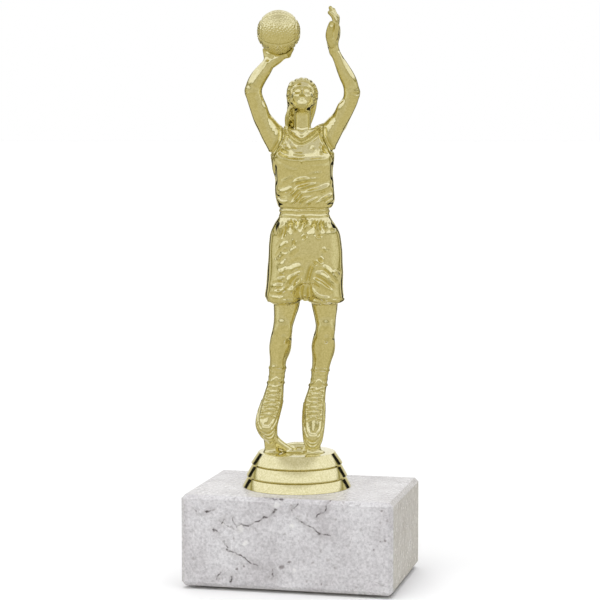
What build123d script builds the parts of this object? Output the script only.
"""Basketball trophy: a metallised plastic player on a three-tier round foot, bolted to a bevelled marble block.

Frame: millimetres, +Z up, origin at the centre of the plane the trophy stands on, the block's front face towards -Y.
The figure is laid out in its own frame, standing on the top of the block and facing -Y, and is then turned
about the bolt by FACING. Its parting plane is its own XZ plane.
"""
from build123d import *
from math import cos, radians, sin
import os

# ---------------------------------------------------------------- driving dimensions
BLOCK_WIDTH = 70.0
BLOCK_DEPTH = 50.0
BLOCK_HEIGHT = 30.0
BLOCK_BEVEL = 1.3
PAD_RADIUS = 5.0
PAD_THICKNESS = 1.0
PAD_INSET = 8.5
FACING = 12.0  # degrees that the figure is turned about the bolt
BOLT_X = -2.0  # the bolt stands a little left of the block's middle

# M5 fastening: the bolt is moulded into the foot, the nut sits in a recess under the block
SHANK_RADIUS = 2.45
SHANK_LENGTH = 30.0
HEX_ACROSS_FLATS = 8.0
HEAD_HEIGHT = 3.5
HEAD_BEARING = 4.5  # height of the head's bearing face over the block
NUT_HEIGHT = 4.7
NUT_BORE = 2.5
WASHER_BORE = 2.65
WASHER_RADIUS = 5.0
WASHER_THICKNESS = 1.0
SPRING_RADIUS = 4.6
SPRING_THICKNESS = 1.2
SPRING_GAP = 1.0
BLOCK_BORE = 3.0
RECESS_RADIUS = 10.0
RECESS_DEPTH = 12.0

# Round foot
TIER_HEIGHTS = (3.1, 4.1, 4.3)
TIER_BASE_RADII = (18.1, 16.8, 15.2)
TIER_TOP_RADII = (16.1, 14.5, 12.1)
FOOT_WALL = 1.6
BOSS_RADIUS = 6.4
RIB_COUNT = 6
RIB_THICKNESS = 1.2
RIB_CLEARANCE = 0.5

# Player
SHELL_WALL = 1.5
LOCATING_PIN_RADIUS = 0.9
LOCATING_BOSS_RADIUS = 1.9
LOCATING_PIN_LENGTH = 1.6
FIT_GAP = 0.05
JOINT_SWELL = 1.05  # how much larger elbows and knuckles are than the limbs they join
PEG_RADIUS = 1.2
SPIGOT_RADIUS = 1.3
SPIGOT_LENGTH = 3.2
BALL_RADIUS = 7.1
BALL_WALL = 1.4
BALL_CENTRE = (-5.8, -4.0, 149.2)
BALL_PEG_RADIUS = 0.9
BALL_PEG_LENGTH = 2.4
PALM_RISE = -52.0  # degrees below the ball's equator, straight behind it

FOOT_HEIGHT = sum(TIER_HEIGHTS)
BLOCK_TOP = PAD_THICKNESS + BLOCK_HEIGHT


# ---------------------------------------------------------------- helpers
def in_place(figure_shape):
    """Moves a shape from the figure's frame onto the block."""
    return Pos(BOLT_X, 0, BLOCK_TOP) * Rot(0, 0, FACING) * figure_shape


def oval(x, y, z, half_x, half_y):
    """A level oval section centred at (x, y, z)."""
    return Pos(x, y, z) * Ellipse(half_x, half_y)


def level_loft(sections):
    """A smooth solid through two to four level ovals, given as (x, y, z, half_x, half_y) from the bottom up."""
    return loft([oval(*section) for section in sections])


def stack(*runs):
    """Lofts laid end to end. Each run starts on the last section of the run before it."""
    body, last = None, None
    for run in runs:
        sections = run if last is None else (last,) + run
        piece = level_loft(sections)
        body = piece if body is None else body + piece
        last = run[-1]
    return body


def limb(stations):
    """A smooth round limb through stations (x, y, z, radius), each section square to the limb's run."""
    centres = [Vector(*station[:3]) for station in stations]
    run = centres[-1] - centres[0]
    sections = []
    for centre, station in zip(centres, stations):
        sections.append(Plane(origin=centre, x_dir=(0, 1, 0), z_dir=run) * Circle(station[3]))
    return loft(sections)


def joint_ball(station):
    """The round joint between two limbs, at a station (x, y, z, radius). It stands a little proud of both."""
    return Pos(*station[:3]) * Sphere(JOINT_SWELL * station[3])


def hexagon_prism(height, bore=0.0):
    """A level hexagonal prism standing on Z = 0."""
    body = extrude(RegularPolygon(HEX_ACROSS_FLATS / 2, 6, major_radius=False), height)
    if bore:
        body -= Cylinder(bore, 3 * height)
    return body


def rod(start, end, radius):
    """A plain round rod between two points."""
    start, end = Vector(*start), Vector(*end)
    return extrude(Plane(origin=start, z_dir=end - start) * Circle(radius), (end - start).length)


def half_space(side):
    """A box holding everything in front of (side -1) or behind (side +1) the figure's parting plane."""
    reach = 400.0
    return Pos(0, side * reach / 2, 0) * Box(reach, reach, reach)


# ---------------------------------------------------------------- block and pads
def make_block():
    block = Pos(0, 0, PAD_THICKNESS + BLOCK_HEIGHT / 2) * Box(BLOCK_WIDTH, BLOCK_DEPTH, BLOCK_HEIGHT)
    block = chamfer(block.edges(), BLOCK_BEVEL)
    block -= Pos(BOLT_X, 0, BLOCK_TOP / 2) * Cylinder(BLOCK_BORE, 2 * BLOCK_TOP)
    block -= Pos(BOLT_X, 0, PAD_THICKNESS + RECESS_DEPTH / 2) * Cylinder(RECESS_RADIUS, RECESS_DEPTH)
    return block


def make_pads():
    """One thin round pad under each corner of the block, by name."""
    pads = {}
    for row, side_y in (("front", -1), ("rear", 1)):
        for column, side_x in (("left", -1), ("right", 1)):
            x = side_x * (BLOCK_WIDTH / 2 - PAD_INSET)
            y = side_y * (BLOCK_DEPTH / 2 - PAD_INSET)
            pads[f"pad_{row}_{column}"] = Pos(x, y, PAD_THICKNESS / 2) * Cylinder(PAD_RADIUS, PAD_THICKNESS)
    return pads


# ---------------------------------------------------------------- fastening, in the figure's frame
def make_bolt():
    head = Pos(0, 0, HEAD_BEARING) * hexagon_prism(HEAD_HEIGHT)
    shank = Pos(0, 0, HEAD_BEARING - SHANK_LENGTH / 2) * Cylinder(SHANK_RADIUS, SHANK_LENGTH)
    bolt = head + shank
    return chamfer(bolt.edges().group_by(Axis.Z)[0], 0.5)


def make_washer():
    seat = RECESS_DEPTH - BLOCK_HEIGHT
    ring = Cylinder(WASHER_RADIUS, WASHER_THICKNESS) - Cylinder(WASHER_BORE, 2 * WASHER_THICKNESS)
    return Pos(0, 0, seat - WASHER_THICKNESS / 2) * ring


def make_spring_washer():
    """A split ring under the flat washer."""
    top = RECESS_DEPTH - BLOCK_HEIGHT - WASHER_THICKNESS
    ring = Cylinder(SPRING_RADIUS, SPRING_THICKNESS) - Cylinder(WASHER_BORE, 2 * SPRING_THICKNESS)
    ring -= Pos(SPRING_RADIUS, 0, 0) * Box(2 * SPRING_RADIUS, SPRING_GAP, 2 * SPRING_THICKNESS)
    return Pos(0, 0, top - SPRING_THICKNESS / 2) * ring


def make_nut():
    top = RECESS_DEPTH - BLOCK_HEIGHT - WASHER_THICKNESS - SPRING_THICKNESS
    return Pos(0, 0, top - NUT_HEIGHT) * hexagon_prism(NUT_HEIGHT, NUT_BORE)


# ---------------------------------------------------------------- round foot, in the figure's frame
def foot_profile():
    """Outline points (radius, height) up the three flared tiers, then back down inside the wall."""
    points, height = [], 0.0
    for rise, base_radius, top_radius in zip(TIER_HEIGHTS, TIER_BASE_RADII, TIER_TOP_RADII):
        points += [(base_radius, height), (top_radius, height + rise)]
        height += rise
    points += [(0, FOOT_HEIGHT), (0, FOOT_HEIGHT - FOOT_WALL)]
    points += [(TIER_TOP_RADII[2] - FOOT_WALL, FOOT_HEIGHT - FOOT_WALL), (TIER_BASE_RADII[0] - FOOT_WALL, 0)]
    return points


def make_foot(bolt, pegs):
    profile = make_face(Polyline([(r, 0, z) for r, z in foot_profile()], close=True))
    shell = revolve(profile, Axis.Z)
    boss = Pos(0, 0, (FOOT_HEIGHT - FOOT_WALL) / 2) * Cylinder(BOSS_RADIUS, FOOT_HEIGHT - FOOT_WALL)
    rib_height = FOOT_HEIGHT - FOOT_WALL - RIB_CLEARANCE
    rib_length = TIER_TOP_RADII[2] - FOOT_WALL / 2 - BOSS_RADIUS / 2
    rib = Pos(BOSS_RADIUS / 2 + rib_length / 2, 0, RIB_CLEARANCE + rib_height / 2)
    rib = rib * Box(rib_length, RIB_THICKNESS, rib_height)
    foot = shell + boss
    for i in range(RIB_COUNT):
        foot += Rot(0, 0, 30 + i * 360 / RIB_COUNT) * rib
    foot -= bolt
    for x, y in pegs:
        foot -= Pos(x, y, FOOT_HEIGHT) * Cylinder(PEG_RADIUS + FIT_GAP, 4 * FOOT_WALL)
    return foot


# ---------------------------------------------------------------- player, in the figure's frame
# Level sections (x, y, z, half_x, half_y) from the bottom up, in runs that share their end sections.
HIPS = (((2.7, 0.4, 71.0, 11.4, 7.6), (2.7, 0.4, 80.0, 11.5, 8.0), (2.6, 0.3, 89.2, 8.4, 6.7)),)
WAISTBAND = (((2.6, 0.2, 89.2, 8.1, 6.4), (2.6, 0.2, 91.8, 8.1, 6.4)),)
VEST = (
    ((2.6, 0.2, 91.8, 8.9, 7.0), (2.6, 0.0, 97.5, 9.7, 7.1), (2.4, -0.2, 103.5, 10.1, 7.6)),
    ((2.2, -0.1, 109.5, 9.8, 7.1), (2.0, 0.4, 114.0, 7.4, 5.4), (2.0, 0.8, 117.0, 4.4, 4.0)),
)
CAVITY = (((2.7, 0.4, 79.0, 9.6, 6.2), (2.6, 0.2, 90.5, 6.6, 4.9), (2.5, 0.0, 98.0, 8.0, 5.6), (2.3, 0.0, 106.0, 8.2, 5.8)),)
NECK = ((1.9, 1.0, 114.0, 3.3), (1.9, 0.8, 124.0, 3.0))
HEAD_CENTRE = (1.8, 0.8, 127.8)
HEAD_HALF_SIZE = (4.5, 5.4, 6.4)
HAIR_CENTRE = (1.8, 2.4, 127.8)
HAIR_HALF_SIZE = (5.5, 5.4, 6.6)
LEFT_SHORT = (((-4.2, 0.2, 60.8, 6.3, 7.1), (-3.8, 0.2, 70.0, 6.0, 7.3), (-2.4, 0.4, 80.0, 5.8, 7.4)),)
RIGHT_SHORT = (((9.2, 0.2, 60.8, 6.3, 7.1), (8.9, 0.2, 70.0, 6.1, 7.3), (7.6, 0.4, 80.0, 5.8, 7.4)),)
LEFT_LEG = (
    ((-8.2, -3.6, FOOT_HEIGHT, 3.0, 4.0), (-9.6, -1.9, 17.0, 3.0, 3.3), (-9.4, 0.2, 24.0, 3.3, 3.7)),
    ((-7.8, 1.2, 31.0, 3.0, 3.8), (-6.6, 1.0, 38.5, 2.7, 2.9)),
    ((-5.6, 1.0, 46.5, 3.6, 4.0), (-4.7, 0.0, 53.5, 3.3, 3.6), (-4.2, 0.0, 66.0, 4.4, 5.0)),
)
RIGHT_LEG = (
    ((5.6, -3.6, FOOT_HEIGHT, 2.9, 4.0), (5.4, -1.9, 17.0, 3.1, 3.3), (5.5, 0.2, 24.0, 3.5, 3.7)),
    ((6.3, 1.2, 31.0, 3.0, 3.8), (7.6, 1.0, 38.5, 2.8, 2.9)),
    ((8.7, 1.0, 46.5, 3.8, 4.0), (9.5, 0.0, 53.5, 3.5, 3.6), (9.2, 0.0, 66.0, 4.4, 5.0)),
)
# Stations (x, y, z, radius) from the shoulder to the elbow and from the elbow to the wrist.
LEFT_UPPER_ARM = ((-3.2, 0.6, 109.0, 4.4), (-8.6, 0.1, 119.0, 3.5), (-14.0, -1.6, 130.2, 2.8))
LEFT_FOREARM = ((-14.0, -1.6, 130.2, 2.8), (-11.2, -1.4, 136.2, 2.6), (-8.2, -0.6, 141.4, 1.9))
RIGHT_UPPER_ARM = ((7.4, 0.6, 109.0, 4.4), (12.6, 0.1, 119.0, 3.5), (17.8, -1.6, 129.8, 2.8))
RIGHT_FOREARM = ((17.8, -1.6, 129.8, 2.8), (15.2, -2.2, 137.0, 2.4), (12.0, -3.0, 144.0, 1.6))
# The arms part from the body on a plane through the armpit and the top of the shoulder.
SHOULDER_HEIGHT = 111.5
SHOULDER_TILT = 24.0  # degrees that each plane leans towards the neck
LEFT_SHOULDER_X = -6.2
RIGHT_SHOULDER_X = 10.2
PEGS = ((-8.0, -3.6), (5.6, -3.6))
PIN_PLACES = ((2.2, 102.0), (2.6, 84.0))
TOE_Y = -5.0
TOE_HALF_SIZE = (3.2, 5.2, 3.4)
CUFFS = (  # x, y, z, half_x, half_y of the shoe collars and the rolled sock tops
    (-7.3, 1.1, 34.0, 3.4, 4.1),
    (6.9, 1.1, 34.0, 3.5, 4.1),
    (-6.5, 1.0, 39.4, 3.2, 3.4),
    (7.7, 1.0, 38.2, 3.3, 3.4),
)


def cavity():
    """The hollow of the torso, crossed by the locating bosses."""
    hollow = stack(*CAVITY)
    for x, z in PIN_PLACES:
        hollow -= rod((x, -20.0, z), (x, 20.0, z), LOCATING_BOSS_RADIUS)
    return hollow


def shoulder_plane(side):
    """The parting plane of one arm, with its normal pointing out along the arm's spigot."""
    x = LEFT_SHOULDER_X if side < 0 else RIGHT_SHOULDER_X
    tilt = radians(SHOULDER_TILT)
    return Plane(origin=(x, 0.4, SHOULDER_HEIGHT), x_dir=(0, 1, 0), z_dir=(side * cos(tilt), 0, sin(tilt)))


def arm_space(side, height):
    """The room outside one shoulder plane, to a height measured along the plane."""
    return shoulder_plane(side) * Pos(0, 0, 30) * Box(60, height, 60)


def toe_box(x):
    """The front of a shoe, bent forward flat on the top of the round foot."""
    centre_z = FOOT_HEIGHT + TOE_HALF_SIZE[2] - 1.2
    toe = Pos(x, TOE_Y, centre_z) * scale(Sphere(1.0), by=TOE_HALF_SIZE)
    return toe & Pos(x, TOE_Y, FOOT_HEIGHT + 10) * Box(20, 20, 20)


def cuff(x, y, z, half_x, half_y):
    """A level band round an ankle: the collar of a shoe or the roll of a sock."""
    sections = ((x, y, z - 0.8, half_x, half_y), (x, y, z, half_x + 0.3, half_y + 0.3), (x, y, z + 0.8, half_x, half_y))
    return level_loft(sections)


def make_body():
    """The player without arms, solid but for the cavity in the torso."""
    body = stack(*VEST) + stack(*WAISTBAND) + stack(*HIPS) + limb(NECK)
    body += Pos(*HEAD_CENTRE) * scale(Sphere(1.0), by=HEAD_HALF_SIZE)
    body += Pos(*HAIR_CENTRE) * scale(Sphere(1.0), by=HAIR_HALF_SIZE)
    body += stack(*LEFT_SHORT) + stack(*RIGHT_SHORT)
    body -= cavity()
    body += stack(*LEFT_LEG) + stack(*RIGHT_LEG)
    for band in CUFFS:
        body += cuff(*band)
    for x, y in PEGS:
        body += toe_box(x)
        body += rod((x, y, FOOT_HEIGHT + 1.0), (x, y, FOOT_HEIGHT - FOOT_WALL - 0.6), PEG_RADIUS)
    for side in (-1, 1):
        body -= arm_space(side, 18)
        body -= spigot(side, FIT_GAP)
    return body


def spigot(side, gap=0.0):
    """The round spigot that holds an arm, pointing into the body from the shoulder plane."""
    plane = shoulder_plane(side)
    return plane * Pos(0, 0, -SPIGOT_LENGTH / 2) * Cylinder(SPIGOT_RADIUS + gap, SPIGOT_LENGTH + gap)


def split_body(body):
    """The front and rear shells, with pins on the front one and sockets in the rear one."""
    front = body & half_space(-1)
    rear = body & half_space(1)
    for x, z in PIN_PLACES:
        front += rod((x, -1.0, z), (x, LOCATING_PIN_LENGTH, z), LOCATING_PIN_RADIUS)
        rear -= rod((x, -1.0, z), (x, LOCATING_PIN_LENGTH + FIT_GAP, z), LOCATING_PIN_RADIUS + FIT_GAP)
    return front, rear


def make_arm(upper_arm, forearm, side, hand):
    arm = limb(upper_arm) & arm_space(side, 60)
    return arm + joint_ball(forearm[0]) + limb(forearm) + hand + spigot(side)


def round_run(points, radius):
    """A bent round rod through a few points, such as a finger."""
    run = Pos(*points[0]) * Sphere(JOINT_SWELL * radius)
    for start, end in zip(points, points[1:]):
        run += rod(start, end, radius) + Pos(*end) * Sphere(JOINT_SWELL * radius)
    return run


def by_ball(turn, rise, lift):
    """A point lifted off the ball: turn is measured from straight behind it, rise from its equator."""
    x, y, z = BALL_CENTRE
    reach = BALL_RADIUS + lift
    level = reach * cos(radians(rise))
    return (x + level * sin(radians(turn)), y + level * cos(radians(turn)), z + reach * sin(radians(rise)))


def shooting_hand():
    """The hand under and behind the ball: palm and fingers follow its surface."""
    wrist = LEFT_FOREARM[-1][:3]
    hand = joint_ball(LEFT_FOREARM[-1])
    for turn in (-42, -16, 10, 36):
        knuckle = by_ball(0.8 * turn, -26, 0.9)
        hand += round_run((wrist, by_ball(0.7 * turn, PALM_RISE, 1.1), knuckle), 1.35)
        hand += round_run((knuckle, by_ball(turn, 4, 0.6), by_ball(1.1 * turn, 30, 0.45)), 0.85)
    hand += round_run((wrist, by_ball(70, -50, 0.8), by_ball(84, -24, 0.6)), 0.95)
    x, y, z = BALL_CENTRE
    return hand - Pos(x, y, z) * Sphere(BALL_RADIUS)


def ball_peg(gap=0.0):
    """The peg on the palm that the two halves of the ball close round. It lies in the ball's parting plane."""
    return rod(by_ball(0, PALM_RISE, 0.6), by_ball(0, PALM_RISE, -BALL_PEG_LENGTH - gap), BALL_PEG_RADIUS + gap)


def guide_hand():
    """The open hand beside the ball: a flat palm, four fingers together and a thumb."""
    palm = level_loft(((12.0, -3.0, 143.0, 1.7, 1.9), (12.0, -3.4, 146.5, 1.5, 3.0), (12.4, -3.8, 150.5, 1.3, 3.2)))
    hand = palm + joint_ball(RIGHT_FOREARM[-1])
    for i, reach in enumerate((155.4, 157.0, 156.6, 154.6)):
        y = -6.0 + 1.45 * i
        hand += round_run(((12.4, y, 149.4), (11.6, y, reach)), 0.78)
    return hand + round_run(((11.8, -4.6, 145.6), (10.8, -6.9, 150.6)), 0.9)


def make_ball():
    """The front and rear halves of the ball, hollow, with a socket for the peg. They part along the peg."""
    ball = Pos(*BALL_CENTRE) * (Sphere(BALL_RADIUS) - Sphere(BALL_RADIUS - BALL_WALL))
    ball += rod(by_ball(0, PALM_RISE, -0.4), by_ball(0, PALM_RISE, -BALL_PEG_LENGTH - 1.2), BALL_PEG_RADIUS + 1.1)
    ball -= ball_peg(FIT_GAP)
    rear_side = Pos(*BALL_CENTRE) * Rot(PALM_RISE, 0, 0) * Pos(0, 0, 20) * Box(80, 80, 40)
    return ball - rear_side, ball & rear_side


# ---------------------------------------------------------------- assembly
def make_parts():
    bolt = make_bolt()
    front, rear = split_body(make_body())
    ball_front, ball_rear = make_ball()
    figure = {
        "round_foot": make_foot(bolt, PEGS),
        "moulded_bolt": bolt,
        "flat_washer": make_washer(),
        "spring_washer": make_spring_washer(),
        "hex_nut": make_nut(),
        "player_front_shell": front,
        "player_rear_shell": rear,
        "shooting_arm": make_arm(LEFT_UPPER_ARM, LEFT_FOREARM, -1, shooting_hand() + ball_peg()),
        "guide_arm": make_arm(RIGHT_UPPER_ARM, RIGHT_FOREARM, 1, guide_hand()),
        "ball_front_half": ball_front,
        "ball_rear_half": ball_rear,
    }
    parts = {name: in_place(shape) for name, shape in figure.items()}
    parts["marble_block"] = make_block()
    parts.update(make_pads())
    return parts


if __name__ == "__main__":
    os.makedirs("parts", exist_ok=True)
    for name, shape in make_parts().items():
        export_step(shape, f"parts/{name}.step")
